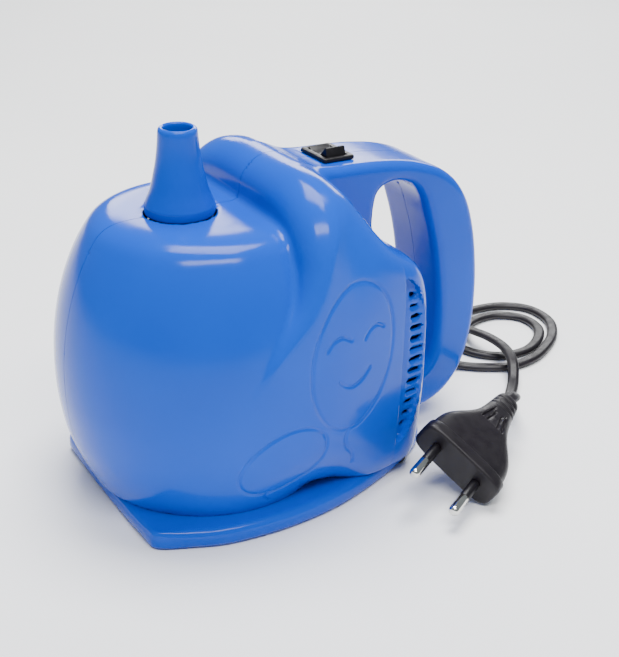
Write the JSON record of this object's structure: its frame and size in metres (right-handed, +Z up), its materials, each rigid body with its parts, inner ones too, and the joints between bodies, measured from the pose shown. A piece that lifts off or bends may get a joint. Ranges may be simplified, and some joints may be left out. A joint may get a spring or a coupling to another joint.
{
  "type": "electric balloon inflator",
  "caption": "Mains balloon inflator with a moulded loop-handle housing, press-down air nozzle, rocker switch, centrifugal blower and a two-core lead with a flat plug.",
  "frame": {"origin": "on the floor under the middle of the pump's length, in its plane of symmetry; the lead and plug are left out of that length", "axes": "+Z up, -Y towards the nozzle end, +Y towards the loop handle, +X the side with the plug"},
  "size_m": [0.1399, 0.2535, 0.133],
  "materials": {
    "blue_shell": "glossy injection-moulded",
    "black_plastic": "satin moulded",
    "black_pvc": "soft satin",
    "rubber": "matte",
    "steel": "turned",
    "lamination": "stacked sheet",
    "copper": "enamelled winding",
    "brass": "stamped",
    "nickel": "nickel plate",
    "carbon": "pressed carbon",
    "nylon": "natural nylon"
  },
  "bodies": {
    "pump": {"housing_left": "blue_shell", "housing_right": "blue_shell", "base_plate": "blue_shell", "nozzle_gasket": "rubber", "nozzle_spring": "steel", "rubber_foot_1": "rubber", "rubber_foot_2": "rubber", "rubber_foot_3": "rubber", "rubber_foot_4": "rubber", "base_screw_1": "steel", "base_screw_2": "steel", "base_screw_3": "steel", "base_screw_4": "steel", "housing_screw_1": "steel", "housing_screw_2": "steel", "housing_screw_3": "steel", "housing_screw_4": "steel", "housing_screw_5": "steel", "switch_body": "black_plastic", "rocker_pin": "steel", "switch_terminal_1": "brass", "switch_terminal_2": "brass", "bearing_lower": "steel", "bearing_upper": "steel", "stator_core": "lamination", "field_coil_front": "copper", "field_coil_rear": "copper", "motor_bracket": "black_plastic", "motor_mount": "rubber", "motor_plate": "black_plastic", "brush_holder_1": "brass", "brush_holder_2": "brass", "carbon_brush_1": "carbon", "carbon_brush_2": "carbon", "guide_vanes": "nylon", "blower_cover": "black_plastic", "power_cord": "black_pvc", "strain_relief": "black_pvc", "plug_body": "black_pvc", "plug_pin_1": "nickel", "plug_pin_2": "nickel"},
    "nozzle": {"nozzle": "blue_shell"},
    "rocker": {"switch_rocker": "black_plastic"},
    "rotor": {"shaft": "steel", "commutator": "copper", "armature": "lamination", "impeller": "nylon", "impeller_nut": "brass"}
  },
  "joints": [
    {"name": "nozzle_press", "type": "slide", "parent": "pump", "child": "nozzle", "axis": [0, 0, -1], "range_m": [0, 0.003], "stiffness_N_per_m": 900, "springref_m": -0.002, "deforming": ["nozzle_spring"]},
    {"name": "rocker_tilt", "type": "hinge", "parent": "pump", "child": "rocker", "pos_m": [0, 0.02043, 0.114], "axis": [0, 1, 0], "range_deg": [0, 20]},
    {"name": "rotor_spin", "type": "hinge", "parent": "pump", "child": "rotor", "pos_m": [0, -0.02957, 0.05], "axis": [0, 0, 1], "continuous": true}
  ]
}
